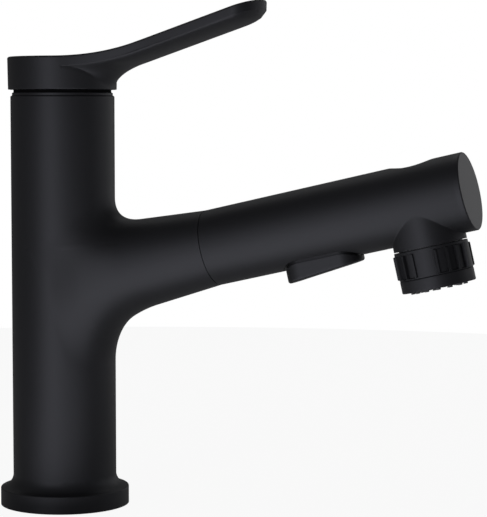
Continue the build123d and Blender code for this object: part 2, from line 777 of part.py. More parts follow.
def nozzle_ring():
    """Grip ring: groups of raised ribs around its upper part, with a shallow pocket between the ribs."""
    start = boss_t + ring_gap
    grip = disc(ring_r, start, ring_end_t)
    rib_z = start + rib_start
    pocket = ring(2 * ring_r, ring_r - pocket_depth, rib_z, rib_z + rib_l)
    group_span = rib_pitch_deg * (ribs_in_group - 1)
    for group in range(rib_groups):
        first = rib_turn_deg + group * 360 / rib_groups
        grip -= pocket & Rot(0, 0, first) * sector(2 * ring_r, group_span, rib_z, rib_l)
        for rib in range(ribs_in_group):
            bar = Pos(ring_bore_r, 0, rib_z) * Box(ring_wall + rib_out, rib_w, rib_l, align=BAR)
            grip += Rot(0, 0, first + rib * rib_pitch_deg) * bar
    return nozzle * (grip - disc(ring_bore_r, start, ring_end_t))


def nub_places():
    """Centres of the rubber nozzles, on two circles around the nozzle axis."""
    return [Rot(0, 0, 360 * k / count) * Pos(radius, 0, 0) for radius, count in nub_rings for k in range(count)]


def nozzle_seal():
    """Washer between the nipple and the distributor."""
    return nozzle * ring(ring_bore_r, nipple_bore_r, nipple_end_t, nipple_end_t + nozzle_seal_t)


def spray_distributor():
    """Plate that spreads the water over the rubber nozzles."""
    plate = ring(ring_bore_r, aerator_r, distributor_start, pad_start)
    for place in nub_places():
        plate -= place * disc(feed_hole_r, distributor_start, pad_start)
    return nozzle * plate


def nozzle_pad():
    """Rubber pad whose nozzles pass through the spray face and stand a little proud."""
    pad = ring(ring_bore_r, aerator_r, pad_start, face_start)
    for place in nub_places():
        pad += place * disc(nub_r, face_start, ring_end_t + nub_out)
    for place in nub_places():
        pad -= place * disc(nub_bore_r, pad_start, ring_end_t + nub_out)
    return nozzle * pad


def spray_face():
    """Face plate in the nozzle ring, with a hole for each rubber nozzle."""
    plate = ring(ring_bore_r, aerator_r, face_start, face_start + face_t)
    for place in nub_places():
        plate -= place * disc(nub_r, face_start, face_start + face_t)
    return nozzle * plate


def aerator_insert():
    """Aerator in the middle of the face: a cup with a cross-barred grid."""
    end = ring_end_t - aerator_recess
    cup = ring(aerator_r, aerator_r - aerator_wall, distributor_start, end)
    for k in range(3):
        bar = Box(2 * aerator_r - aerator_wall, aerator_bar_w, aerator_bar_t, align=BASE)
        cup += Pos(0, 0, end - aerator_bar_t) * Rot(0, 0, 60 * k) * bar
    return nozzle * cup


parts = {
    "body_casting": body_casting, "foot_gasket": foot_gasket, "foot_block": foot_block,
    "spray_hose": spray_hose, "hose_coupling": hose_coupling, "dock_bush": dock_bush,
    "cartridge_base": cartridge_base, "port_seals": port_seals, "fixed_disc": fixed_disc,
    "moving_disc": moving_disc, "disc_carrier": disc_carrier, "cartridge_housing": cartridge_housing,
    "cartridge_turret": cartridge_turret, "pivot_pin": pivot_pin, "lever_stem": lever_stem,
    "cartridge_nut": cartridge_nut, "neck_ring": neck_ring, "handle": handle, "set_screw": set_screw,
    "screw_plug": screw_plug, "head_shell": head_shell, "head_end_cap": head_end_cap,
    "head_spigot": head_spigot, "spigot_seal": spigot_seal, "check_valve": check_valve,
    "swivel_nut": swivel_nut, "hose_ferrule": hose_ferrule, "head_core": head_core,
    "rocker_pin": rocker_pin, "rocker_button": rocker_button, "diverter_spool": diverter_spool,
    "spool_seals": spool_seals, "nozzle_nipple": nozzle_nipple, "nozzle_ring": nozzle_ring,
    "nozzle_seal": nozzle_seal, "spray_distributor": spray_distributor, "nozzle_pad": nozzle_pad,
    "spray_face": spray_face, "aerator_insert": aerator_insert,
}

os.makedirs("parts", exist_ok=True)
for name, make in parts.items():
    export_step(make(), f"parts/{name}.step")
for name, (x, y) in zip(("hot_pipe", "cold_pipe", "mixed_pipe"), ports):
    export_step(pipe(x, y), f"parts/{name}.step")
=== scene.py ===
import math
import bmesh
import bpy
import numpy as np
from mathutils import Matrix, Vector


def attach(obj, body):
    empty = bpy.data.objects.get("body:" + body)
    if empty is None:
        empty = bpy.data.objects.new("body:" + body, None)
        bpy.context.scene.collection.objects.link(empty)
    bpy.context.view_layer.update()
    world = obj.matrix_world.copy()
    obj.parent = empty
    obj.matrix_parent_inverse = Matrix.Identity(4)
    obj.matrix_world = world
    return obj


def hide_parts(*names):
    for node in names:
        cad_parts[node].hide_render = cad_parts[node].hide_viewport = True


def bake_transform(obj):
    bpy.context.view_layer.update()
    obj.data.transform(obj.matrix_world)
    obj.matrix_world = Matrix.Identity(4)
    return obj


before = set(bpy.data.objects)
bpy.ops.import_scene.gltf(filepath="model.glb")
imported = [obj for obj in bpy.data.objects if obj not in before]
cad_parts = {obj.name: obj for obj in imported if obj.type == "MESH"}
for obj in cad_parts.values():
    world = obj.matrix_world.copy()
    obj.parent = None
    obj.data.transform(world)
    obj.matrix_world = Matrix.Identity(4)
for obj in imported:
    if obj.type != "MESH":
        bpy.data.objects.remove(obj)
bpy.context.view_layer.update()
MM = 0.001
WELD = 0.002

# Lengths in millimetres: the solids' own, and some finer ones that only the render shows.
# Rib pitch and turn, and how far the head's windows reach to each side, are in degrees.
COLUMN_R, COLUMN_TOP, COLUMN_EDGE = 22.0, 174.3, 0.7
FLANGE_R, FLANGE_H, FLANGE_EDGE, FLANGE_BLEND, FLANGE_SLOPE = 27.4, 7.3, 0.5, 5.616, math.radians(15)
ARM_ROOT_R, ARM_SIDE_R, TUBE_R, SEAM_S, ARM_SWELL, ARM_SWELL_S = 21.9, 21.5, 15.77, 70.2, 17.0, 40.0
FILLET_HIGH, FILLET_LOW, FILLET_WIDE, FILLET_TURN = 9.25, 11.6, 40.0, 12.0
FILLET_ONSET, FILLET_SPAN = -0.1, 0.9
BORE_R, BORE_Z, NUT_BORE_R, NUT_BORE_Z, CUP_R, CUP_Z = 18.0, 128.0, 19.5, 159.8, 17.6, 138.0
ARM_BORE_R, ARM_BORE_S, DOCK_R, DOCK_S, SEAM_DEPTH, SEAM_LIP = 12.9, 30.0, 13.57, 54.2, 0.9, 0.25
WINDOW_LOW, WINDOW_MIDDLE, WINDOW_HIGH, ROOT_GAP = 41.0, 98.0, 141.0, 4.0
RAY_BACK, COLUMN_RAY, ARM_RAY = 2.0, 22.0, 24.0
GASKET_IN, GASKET_OUT, GASKET_T = 23.8, 25.8, 1.5
NECK_R, NECK_TOP, NECK_EDGE, NECK_IN, NECK_LOW, NECK_SEAT = 21.3, 175.6, 0.5, 16.9, 172.3, 19.3
COLLAR_R, COLLAR_TOP = 20.7, 177.2
CAP_R, CAP_LOW, CAP_TOP, CAP_EDGE = 22.96, 176.8, 190.6, 0.3
CAP_INNER_R, ROOF_Z, BOSS_R, BOSS_Z = 22.34, 184.4, 8.0, 178.9
BAND_R, BAND_T, BAND_EDGE = 23.2, 4.0, 0.9
RISE_X, RISE_R, RISE = 5.0, 107.0, math.radians(18.2)
LEVER_HALF, TIP_X, TIP_L, BELLY, BELLY_ARCH, WAIST_R = 13.5, 90.7, 10.0, 3.5, 0.6, 86.0
WEB_R, WEB_SIDE_R, WEB_H, WEB_TURN, WEB_FIT = 14.0, 5.0, 7.2, math.radians(58), 0.98
PLUG_R, PLUG_X, PLUG_Z, PLUG_L, PLUG_EDGE, PLUG_DOME = 2.6, 19.7, 187.3, 3.65, 0.3, 0.2
SPOUT_Z, SPOUT = 95.6, math.radians(12.93)
HOSE_R, HOSE_X, HOSE_LOW, HOSE_BEND, HOSE_END = 5.5, 7.0, 12.0, 33.0, 48.4
HOSE_SLIP, PULL, HOSE_SIDES, BRAID_L = 34.0, 450.0, 48, 34.6
NOZZLE_S, RING_R, RING_TOP, RING_END, RING_BORE = 161.0, 14.9, 18.1, 34.6, 13.0
RIB_TOP, RIB_END, RIB_OUT, RIB_W, POCKET, RIB_PITCH, RIB_TURN = 19.5, 28.9, 0.7, 1.1, 0.6, 18.0, 19.0
RIB_SOFT, RIB_END_SOFT, RIB_ROWS, RIB_CLEAR = 0.11, 0.16, 0.24, 0.5
RING_EDGE, RING_END_EDGE, RING_ROW = 0.3, 0.5, 0.05
BAND_LINE, BAND_LINE_HALF, BAND_LINE_DEPTH = 29.5, 0.2, 0.22
ROCKER_REAR, ROCKER_FRONT, ROCKER_HALF, ROCKER_REAR_R, ROCKER_FRONT_R = 100.2, 132.7, 9.0, 7.5, 8.4
ROCKER_TOP, ROCKER_REAR_T, ROCKER_FRONT_T, ROCKER_EDGE = 9.0, 21.2, 18.0, 1.0
ROCKER_NECK, ROCKER_REVEAL, ROCKER_SPINE = 1.2, 0.7, 9.0
HEAD_START, HEAD_END, HEAD_BORE, HEAD_PLUG = 70.5, 179.2, 13.3, 3.6
HEAD_BOSS_R, HEAD_BOSS_END, HEAD_BOSS_BORE, HEAD_BOSS_FLOOR, HEAD_BOSS_FILLET = 14.8, 17.8, 13.2, 6.3, 0.25
DISH_S, DISH_DEPTH, DISH_R, DISH_RIM = 160.3, 1.95, 20.0, 0.5
SLOT_GAP, SLOT_END_GAP, SLOT_FLOOR = 0.75, 1.2, 5.0
SLOT_WINDOW, SLOT_REACH, BOSS_WINDOW, BOSS_REACH = (97.5, 136.5), 48.0, (143.5, 178.2), 81.0
ALONG = np.array([math.cos(SPOUT), 0.0, math.sin(SPOUT)])
DOWN = np.array([math.sin(SPOUT), 0.0, -math.cos(SPOUT)])
SIDE = np.array([0.0, 1.0, 0.0])


# Meshes

def grid_faces(rows, cols, start, wrap):
    """Quads between neighbouring rows of a grid of points; wrap closes each row on itself."""
    index = start + np.arange(rows * cols).reshape(rows, cols)
    if wrap:
        index = np.concatenate([index, index[:, :1]], axis=1)
    quads = [index[:-1, :-1], index[:-1, 1:], index[1:, 1:], index[1:, :-1]]
    return np.stack(quads, axis=-1).reshape(-1, 4)


def piece(name, grids, sharp_deg=35.0, keep=None, uv=None):
    """A mesh object from a list of (points[rows, cols, 3] in millimetres, wrap), welded where grids meet,
    with its faces turned outwards. keep, where given, says which faces of the first grid are wanted."""
    points, faces, start = [], [], 0
    for number, (grid, wrap) in enumerate(grids):
        quads = grid_faces(grid.shape[0], grid.shape[1], start, wrap)
        faces.append(quads[keep] if keep is not None and number == 0 else quads)
        points.append(grid.reshape(-1, 3))
        start += grid.shape[0] * grid.shape[1]
    points, faces = np.concatenate(points) * MM, np.concatenate(faces)
    mesh = bpy.data.meshes.new(name)
    mesh.from_pydata(points.tolist(), [], faces.tolist())
    if uv is not None:
        layer = mesh.uv_layers.new(name="UVMap")
        loops = np.zeros(len(mesh.loops), dtype=np.int32)
        mesh.loops.foreach_get("vertex_index", loops)
        layer.data.foreach_set("uv", uv[loops].astype(np.float32).ravel())
    solid = bmesh.new()
    solid.from_mesh(mesh)
    bmesh.ops.remove_doubles(solid, verts=solid.verts, dist=WELD * MM)
    bmesh.ops.recalc_face_normals(solid, faces=solid.faces)
    solid.to_mesh(mesh)
    solid.free()
    mesh.polygons.foreach_set("use_smooth", np.ones(len(mesh.polygons), dtype=bool))
    mesh.set_sharp_from_angle(angle=math.radians(sharp_deg))
    obj = bpy.data.objects.new(name, mesh)
    bpy.context.scene.collection.objects.link(obj)
    return obj


def revolve(profile, count=180):
    """Points of a profile of (radius, height) turned round the Z axis."""
    turn = np.linspace(-np.pi, np.pi, count, endpoint=False)
    r, z = np.asarray(profile, dtype=float).T
    x = r[:, None] * np.cos(turn)
    y = r[:, None] * np.sin(turn)
    return np.stack([x, y, np.repeat(z[:, None], count, axis=1)], axis=-1)


def corner(centre, radius, start_deg, end_deg, count=7):
    """Points of an arc in a plane, such as the rounded edge of a profile of (radius, height)."""
    angle = np.radians(np.linspace(start_deg, end_deg, count))
    return [(centre[0] + radius * np.cos(a), centre[1] + radius * np.sin(a)) for a in angle]


def soft_step(value, middle, half):
    """0 below the middle and 1 above it, with a smooth change over twice half."""
    t = np.clip((value - middle) / (2 * half) + 0.5, 0, 1)
    return t * t * (3 - 2 * t)


def in_spout(y, s, down):
    """Points from their side, length and depth in the spout's own directions."""
    y, s, down = np.broadcast_arrays(y, s, down)
    x = s * math.cos(SPOUT) + down * math.sin(SPOUT)
    return np.stack([x, y, SPOUT_Z + s * math.sin(SPOUT) - down * math.cos(SPOUT)], axis=-1)


def spout_point(s, down):
    """Point at distance s along the spout's axis and down from it."""
    return in_spout(0.0, s, down)


def spout_ring(r, s, turn):
    """Circle of radius r round the spout's axis at s."""
    return spout_point(s, 0) + r * (np.cos(turn)[:, None] * DOWN + np.sin(turn)[:, None] * SIDE)


def window_frame(turn, s, columns, rows):
    """Angles and places of the frame of a window cut in a grid, once round."""
    (first, last), (low, high) = columns, rows
    across, up = np.arange(first, last), np.arange(low, high)
    col = np.r_[across, np.full(len(up), last), across[::-1] + 1, np.full(len(up), first)]
    row = np.r_[np.full(len(across), low), up, np.full(len(across), high), up[::-1] + 1]
    return turn[col], s[row]


def outside_window(turn, s, columns, rows):
    """Which faces of a grid of turns and places lie outside a window cut in it."""
    row, col = np.divmod(np.arange((len(s) - 1) * len(turn)), len(turn))
    return ~((row >= rows[0]) & (row < rows[1]) & (col >= columns[0]) & (col < columns[1]))


def edge_share(inside, count, halvings=40):
    """Share of the way, on each of so many lines, at which it leaves a region, found by halving."""
    near, far = np.zeros(count), np.ones(count)
    for _ in range(halvings):
        mid = (near + far) / 2
        within = inside(mid)
        near, far = np.where(within, mid, near), np.where(within, far, mid)
    return far


# Body

SLOPE_TAN, SLOPE_COS = math.tan(FLANGE_SLOPE), math.cos(FLANGE_SLOPE)
EDGE_Z = FLANGE_H + FLANGE_EDGE * (SLOPE_TAN - 1 / SLOPE_COS)
BLEND_Z = FLANGE_H + (FLANGE_R - COLUMN_R - FLANGE_BLEND) * SLOPE_TAN + FLANGE_BLEND / SLOPE_COS


def column_radius(z):
    """Radius of the column at height z: flange with a rounded edge, a gentle slope, a hollow blend,
    a straight wall and a rounded top edge."""
    z = np.asarray(z, dtype=float)
    rise, dip = np.maximum(0, z - EDGE_Z), np.maximum(0, BLEND_Z - z)
    edge_r = FLANGE_R - FLANGE_EDGE + np.sqrt(np.maximum(0, FLANGE_EDGE ** 2 - rise ** 2))
    slope_r = FLANGE_R - (z - FLANGE_H) / SLOPE_TAN
    blend_r = COLUMN_R + FLANGE_BLEND - np.sqrt(np.maximum(0, FLANGE_BLEND ** 2 - dip ** 2))
    low = np.where(rise < FLANGE_EDGE * SLOPE_COS, edge_r, slope_r)
    low = np.where(dip < FLANGE_BLEND * SLOPE_COS, blend_r, low)
    rim = np.maximum(0, z - COLUMN_TOP + COLUMN_EDGE)
    return low - COLUMN_EDGE + np.sqrt(np.maximum(0, COLUMN_EDGE ** 2 - rim ** 2))


def arm_shape(s):
    """Half width of the arm at s, its height above the axis, and its depth below it, which swells towards
    the column."""
    half = ARM_SIDE_R + (TUBE_R - ARM_SIDE_R) * s / SEAM_S
    high = ARM_ROOT_R + (TUBE_R - ARM_ROOT_R) * s / SEAM_S
    return half, high, high + ARM_SWELL * np.clip(1 - s / ARM_SWELL_S, 0, 1) ** 2


def body_fields(p):
    """Distances of points from the column and from the arm, and of both joined by a rounded hollow whose
    radius is larger below, and grows as the two surfaces meet at a flatter angle."""
    x, y, z = p[..., 0], p[..., 1], p[..., 2]
    r = np.maximum(np.hypot(x, y), 1e-6)
    column = r - column_radius(z)
    s = x * math.cos(SPOUT) + (z - SPOUT_Z) * math.sin(SPOUT)
    t = x * math.sin(SPOUT) - (z - SPOUT_Z) * math.cos(SPOUT)
    half, high, deep = arm_shape(s)
    deep = np.where(t > 0, deep, high)
    reach = np.maximum(np.hypot(t / deep, y / half), 1e-6)
    slope_t, slope_y = t / deep ** 2 / reach, y / half ** 2 / reach
    slope = np.maximum(np.hypot(slope_t, slope_y), 1e-6)
    arm = np.maximum((reach - 1) / slope, -s)
    along = np.clip((x * slope_t * math.sin(SPOUT) + y * slope_y) / (r * slope), -1, 1)
    wide = np.clip((along - FILLET_ONSET) / FILLET_SPAN, 0, 1) * (slope_y / slope) ** 2
    tight = FILLET_HIGH + (FILLET_LOW - FILLET_HIGH) * soft_step(t, 0, FILLET_TURN)
    fillet = tight + (FILLET_WIDE - tight) * wide
    width = np.maximum(4 * fillet * (1 - np.sqrt((1 + along) / 2)), 1e-3)
    share = np.maximum(width - np.abs(column - arm), 0) / width
    return column, arm, np.minimum(column, arm) - share ** 2 * width / 4


def first_surface(start, direction, reach, steps=48):
    """First point along each ray where the joined distance turns positive, by steps and then halving."""
    walk = np.linspace(0, reach, steps)
    inside = np.stack([body_fields(start + direction * w)[2] for w in walk]) < 0
    out = np.argmin(inside, axis=0)
    high = walk[out]
    low = walk[np.maximum(out - 1, 0)]
    for _ in range(26):
        mid = (low + high) / 2
        within = body_fields(start + direction * mid[..., None])[2] < 0
        low, high = np.where(within, mid, low), np.where(within, high, mid)
    return start + direction * high[..., None]


def on_column(angle, z):
    """Points of the joined surface, met by level rays from the column's axis."""
    level = np.stack(np.broadcast_arrays(np.cos(angle), np.sin(angle), 0.0 * z), axis=-1)
    start = level * (column_radius(z) - RAY_BACK)[..., None]
    start[..., 2] += z
    return first_surface(start, level, COLUMN_RAY)


def on_arm(angle, s):
    """Points of the joined surface, met by rays square to the arm's axis."""
    square = np.cos(angle)[..., None] * DOWN + np.sin(angle)[..., None] * SIDE
    half, high, deep = arm_shape(s)
    radius = 1 / np.hypot(np.cos(angle) / np.where(np.cos(angle) > 0, deep, high), np.sin(angle) / half)
    return first_surface(spout_point(s, 0) + square * (radius - RAY_BACK)[..., None], square, ARM_RAY)


def body_skin():
    """Body. Its outside is the surface on which the joined distance of column and arm is nil: a grid of turns
    and heights with a window at the arm, a collar of lines from the window's frame to a line round the arm's
    root, and lines from there along the arm. The insides are turned profiles."""
    frame_z = np.linspace(WINDOW_LOW, WINDOW_HIGH, 64)
    rim = COLUMN_TOP - COLUMN_EDGE * (1 - np.sin(np.linspace(0, np.pi / 2, 9)))
    edge = EDGE_Z + FLANGE_EDGE * np.sin(np.linspace(0, np.pi / 2 - FLANGE_SLOPE, 8))
    blend = BLEND_Z - FLANGE_BLEND * np.cos(np.linspace(FLANGE_SLOPE, np.pi / 2, 24))
    z = np.r_[0, 3, edge, (edge[-1] + blend[0]) / 2, blend, 20, 30, frame_z, 150, 160, rim]
    turn = np.linspace(-np.pi, np.pi, 180, endpoint=False)
    angle, height = np.meshgrid(turn, z)
    column = on_column(angle, height)
    low = int(np.argmin(np.abs(z - WINDOW_LOW)))
    window = (len(turn) // 6, len(turn) * 5 // 6), (low, low + len(frame_z) - 1)
    frame_turn, frame_height = window_frame(turn, z, *window)

    def on_line(share):
        return frame_turn * share, WINDOW_MIDDLE + (frame_height - WINDOW_MIDDLE) * share

    def near_arm(share):
        a, h = on_line(share)
        return body_fields(np.stack([COLUMN_R * np.cos(a), COLUMN_R * np.sin(a), h], axis=-1))[1] < ROOT_GAP

    far = edge_share(near_arm, len(frame_turn))
    collar = on_column(*on_line(far + (1 - far) * (np.linspace(0, 1, 40) ** 1.3)[:, None]))

    root = collar[0]
    along = root[:, 0] * math.cos(SPOUT) + (root[:, 2] - SPOUT_Z) * math.sin(SPOUT)
    below = root[:, 0] * math.sin(SPOUT) - (root[:, 2] - SPOUT_Z) * math.cos(SPOUT)
    spin = np.arctan2(root[:, 1], below)
    s = along + (SEAM_S - along) * (np.linspace(0, 1, 90) ** 1.4)[:, None]
    arm = on_arm(np.broadcast_to(spin, s.shape), s)
    arm[0] = root
    lip_r, lip_s = TUBE_R - SEAM_DEPTH, SEAM_S + SEAM_LIP
    mouth = [(lip_r, SEAM_S), (lip_r, lip_s), (DOCK_R, lip_s), (DOCK_R, DOCK_S), (ARM_BORE_R, DOCK_S),
             (ARM_BORE_R, ARM_BORE_S), (0.0, ARM_BORE_S)]
    inside = np.concatenate([arm[-1:], np.stack([spout_ring(r, v, spin) for r, v in mouth])])

    under = revolve([(FLANGE_R, 0), (GASKET_OUT, 0), (GASKET_OUT, GASKET_T), (GASKET_IN, GASKET_T),
                     (GASKET_IN, 0), (BORE_R, 0), (BORE_R, BORE_Z), (0, BORE_Z)])
    top = revolve([(COLUMN_R - COLUMN_EDGE, COLUMN_TOP), (NUT_BORE_R, COLUMN_TOP), (NUT_BORE_R, NUT_BORE_Z),
                   (CUP_R, NUT_BORE_Z), (CUP_R, CUP_Z), (0, CUP_Z)])
    grids = [(column, True), (collar, True), (arm, True), (inside, True), (under, True), (top, True)]
    return piece("body_skin", grids, keep=outside_window(turn, z, *window))


def neck_skin():
    """Rim of the neck ring on top of the column: a turned profile with a rounded upper edge."""
    rim = corner((NECK_R - NECK_EDGE, NECK_TOP - NECK_EDGE), NECK_EDGE, 0, 90)
    profile = [(COLLAR_R, COLUMN_TOP), (NECK_R, COLUMN_TOP), *rim,
               (COLLAR_R, NECK_TOP), (COLLAR_R, COLUMN_TOP)]
    return piece("neck_skin", [(revolve(profile), True)])


def collar_skin():
    """Collar of the neck ring: a turned profile from its seat in the column up into the cap."""
    profile = [(NECK_IN, NECK_LOW), (NECK_SEAT, NECK_LOW), (NECK_SEAT, COLUMN_TOP), (COLLAR_R, COLUMN_TOP),
               (COLLAR_R, COLLAR_TOP), (NECK_IN, COLLAR_TOP), (NECK_IN, NECK_LOW)]
    return piece("collar_skin", [(revolve(profile), True)])


# Handle

WAIST_Y = LEVER_HALF + WAIST_R
WAIST_X = math.sqrt((BAND_R + WAIST_R) ** 2 - WAIST_Y ** 2)
TOUCH = math.atan2(WAIST_Y, WAIST_X)
TIP_START = TIP_X - TIP_L


def lever_top(x):
    """Height of the top: level over the cap, then an arc, then a straight rise."""
    x = np.asarray(x, dtype=float)
    arc_end = RISE_X + RISE_R * math.sin(RISE)
    arc = RISE_R - np.sqrt(RISE_R ** 2 - np.clip(x - RISE_X, 0, arc_end - RISE_X) ** 2)
    return CAP_TOP + arc + np.maximum(0, x - arc_end) * math.tan(RISE)


def tip_factor(x):
    """1 along the lever, falling along a quarter ellipse to 0 at its very end."""
    beyond = np.clip((np.asarray(x, dtype=float) - TIP_START) / TIP_L, 0, 1)
    return np.sqrt(1 - beyond ** 2)


def lever_half(x):
    """Half width in plan: the cap's circle, a hollow waist, parallel sides, a rounded tip."""
    x = np.asarray(x, dtype=float)
    touch_x = BAND_R * math.cos(TOUCH)
    cap = np.sqrt(np.maximum(0, BAND_R ** 2 - x ** 2))
    waist = WAIST_Y - np.sqrt(np.maximum(0, WAIST_R ** 2 - np.clip(WAIST_X - x, 0, None) ** 2))
    return np.where(x <= touch_x, cap, waist) * tip_factor(x)


def lever_outline(along=46):
    """Plan of the lever's edge from one touch point on the cap, round the tip, to the other one."""
    waist = np.linspace(math.pi - TOUCH, math.pi / 2, along)
    wx = WAIST_X + WAIST_R * np.cos(waist)
    wy = -WAIST_Y + WAIST_R * np.sin(waist)
    side_x = np.linspace(WAIST_X, TIP_START, along)[1:-1]
    tip = np.linspace(-math.pi / 2, 0, along)
    tx = TIP_START + TIP_L * np.cos(tip)
    ty = LEVER_HALF * np.sin(tip)
    near = np.stack([np.r_[wx, side_x, tx], np.r_[wy, np.full(len(side_x), -LEVER_HALF), ty]], axis=-1)
    far = near[-2::-1] * (1, -1)
    return np.concatenate([near, far])


def plan_normals(loop):
    """Outward normals of a closed plan loop that runs anticlockwise."""
    step = np.roll(loop, -1, axis=0) - np.roll(loop, 1, axis=0)
    normal = np.stack([step[:, 1], -step[:, 0]], axis=-1)
    return normal / np.linalg.norm(normal, axis=1, keepdims=True)


def handle_skin():
    """Handle. Its top and edge band are one plan loop swept through a rounded edge profile and drawn in to
    a spine line. The underside is a fan of lines from the cap's wall to the lever's edge: its depth is
    a full arch across the lever, with a round web where it meets the wall. The cap is a turned profile."""
    draft = (BAND_R - CAP_R) / (CAP_TOP - CAP_LOW)
    lever = lever_outline()
    rear = np.linspace(TOUCH, 2 * math.pi - TOUCH, 90)[1:-1]
    loop = np.concatenate([lever, BAND_R * np.stack([np.cos(rear), np.sin(rear)], axis=-1)])
    normal = plan_normals(loop)
    spine = np.stack([np.clip(loop[:, 0], 0, TIP_START), np.zeros(len(loop))], axis=-1)
    rings = []
    inner = loop - normal * BAND_EDGE
    for k in np.linspace(0, 1, 12):
        flat = spine + (inner - spine) * k
        rings.append(np.c_[flat, lever_top(flat[:, 0])])
    for a in np.radians(np.linspace(80, 0, 9)):
        flat = inner + normal * BAND_EDGE * math.cos(a)
        rings.append(np.c_[flat, lever_top(flat[:, 0]) - BAND_EDGE * (1 - math.sin(a))])
    for depth in np.linspace(BAND_EDGE, BAND_T, 6)[1:]:
        flat = loop - normal * draft * depth
        rings.append(np.c_[flat, lever_top(loop[:, 0]) - depth])
    band = np.stack(rings)

    start = np.linspace(-TOUCH, TOUCH, len(lever))
    wall = CAP_R * np.stack([np.cos(start), np.sin(start)], axis=-1)
    edge = lever - normal[:len(lever)] * draft * BAND_T
    room = np.linalg.norm(lever, axis=1) - CAP_R
    middle = np.cos(np.pi / 2 * np.minimum(np.abs(start) / WEB_TURN, 1)) ** 2
    web = np.clip(WEB_FIT * room, 1e-3, WEB_SIDE_R + (WEB_R - WEB_SIDE_R) * middle)
    fall = WEB_H * middle
    rows = []
    for f in np.linspace(1, 0, 60) ** 2:
        flat = wall + (edge - wall) * f
        half = np.maximum(lever_half(flat[:, 0]), 1e-3)
        depth = BELLY * tip_factor(flat[:, 0]) + BAND_T * (1 / math.cos(RISE) - 1)
        across = np.clip(1 - (flat[:, 1] / half) ** 2, 0, 1) ** BELLY_ARCH
        gap = np.clip(np.linalg.norm(flat, axis=1) - CAP_R, 0, web)
        drop = fall * (1 - np.sqrt(np.maximum(0, 1 - (1 - gap / web) ** 2)))
        rows.append(np.c_[flat, lever_top(flat[:, 0]) - BAND_T - depth * across - drop])
    belly = np.stack(rows)
    belly[0] = band[-1, :len(lever)]
    belly[:, 0], belly[:, -1] = band[-1, 0], band[-1, len(lever) - 1]

    collar = np.concatenate([belly[-1], band[-1, len(lever):]])
    round_cap = np.arctan2(collar[:, 1], collar[:, 0])
    spokes = np.stack([np.cos(round_cap), np.sin(round_cap)], axis=-1)
    lip = corner((CAP_R - CAP_EDGE, CAP_LOW + CAP_EDGE), CAP_EDGE, 0, -90)
    sunk = [(CAP_INNER_R, CAP_LOW), (CAP_INNER_R, ROOF_Z), (BOSS_R, ROOF_Z), (BOSS_R, BOSS_Z), (0.0, BOSS_Z)]
    rows = [collar]
    for k in np.linspace(0, 1, 10)[1:-1]:
        low = collar[:, 2] + (CAP_LOW + CAP_EDGE - collar[:, 2]) * k
        rows.append(np.c_[spokes * (CAP_R + draft * (low - CAP_LOW))[:, None], low])
    rows += [np.c_[spokes * r, np.full(len(collar), z)] for r, z in lip + sunk]
    return piece("handle_skin", [(band, True), (belly, False), (np.stack(rows), True)])


def plug_skin():
    """Plug over the handle's screw: a turned profile with a rounded rim and a low dome, laid along the X axis
    at the back of the cap."""
    flat_r = PLUG_R - PLUG_EDGE
    dome_r = np.linspace(flat_r, 0, 9)[1:]
    dome = [(r, PLUG_L + PLUG_DOME * (1 - (r / flat_r) ** 2)) for r in dome_r]
    profile = [(0, 0), (PLUG_R, 0)] + corner((flat_r, PLUG_L - PLUG_EDGE), PLUG_EDGE, 0, 90) + dome
    y, z, out = np.moveaxis(revolve(profile, 72), -1, 0)
    return piece("plug_skin", [(np.stack([-PLUG_X - out, y, PLUG_Z + z], axis=-1), True)])


# Spray hose

def hose_skin():
    """Hose: a circle carried along a line up the column, one arc, and a line along the arm. The last stretch
    has close rings, and there its braid's UV length grows by the pull; the hose is baked in place."""
    turn = math.pi / 2 - SPOUT
    corner_at = np.array([HOSE_X, 0.0, SPOUT_Z + HOSE_X * math.tan(SPOUT)])
    reach = HOSE_BEND * math.tan(turn / 2)
    bend_start = corner_at - (0, 0, reach)
    centre = bend_start + (HOSE_BEND, 0, 0)
    up = [np.array([HOSE_X, 0.0, z]) for z in np.linspace(HOSE_LOW, bend_start[2], 12)[:-1]]
    arc = [centre - HOSE_BEND * np.array([math.cos(a), 0, -math.sin(a)]) for a in np.linspace(0, turn, 18)]
    bend_end = corner_at + ALONG * reach
    length = np.linalg.norm(spout_point(HOSE_END, 0) - bend_end)
    run = [bend_end + ALONG * length * k for k in np.linspace(0, 1, 160)[1:]]
    path = np.array(up + arc + run)
    step = np.gradient(path, axis=0)
    tangent = step / np.linalg.norm(step, axis=1, keepdims=True)
    other = np.cross(tangent, SIDE)[:, None]
    around = np.linspace(0, 2 * np.pi, HOSE_SIDES, endpoint=False)
    tube = path[:, None] + HOSE_R * (np.cos(around)[:, None] * SIDE + np.sin(around)[:, None] * other)
    travel = np.r_[0, np.cumsum(np.linalg.norm(np.diff(path, axis=0), axis=1))]
    s = path @ ALONG - SPOUT_Z * ALONG[2]
    travel = travel + PULL * soft_step(s, (HOSE_END + HOSE_SLIP) / 2, (HOSE_END - HOSE_SLIP) / 2)
    tube_uv = np.broadcast_arrays(around / (2 * np.pi), travel[:, None] / BRAID_L)
    tube_uv = np.stack(tube_uv, axis=-1).reshape(-1, 2)
    ends = [(np.stack([tube[k], np.broadcast_to(path[k], tube[k].shape)]), True) for k in (0, -1)]
    end_uv = np.zeros((2 * HOSE_SIDES, 2))
    return piece("hose_skin", [(tube, True)] + ends, uv=np.concatenate([tube_uv, end_uv, end_uv]))


# Nozzle ring

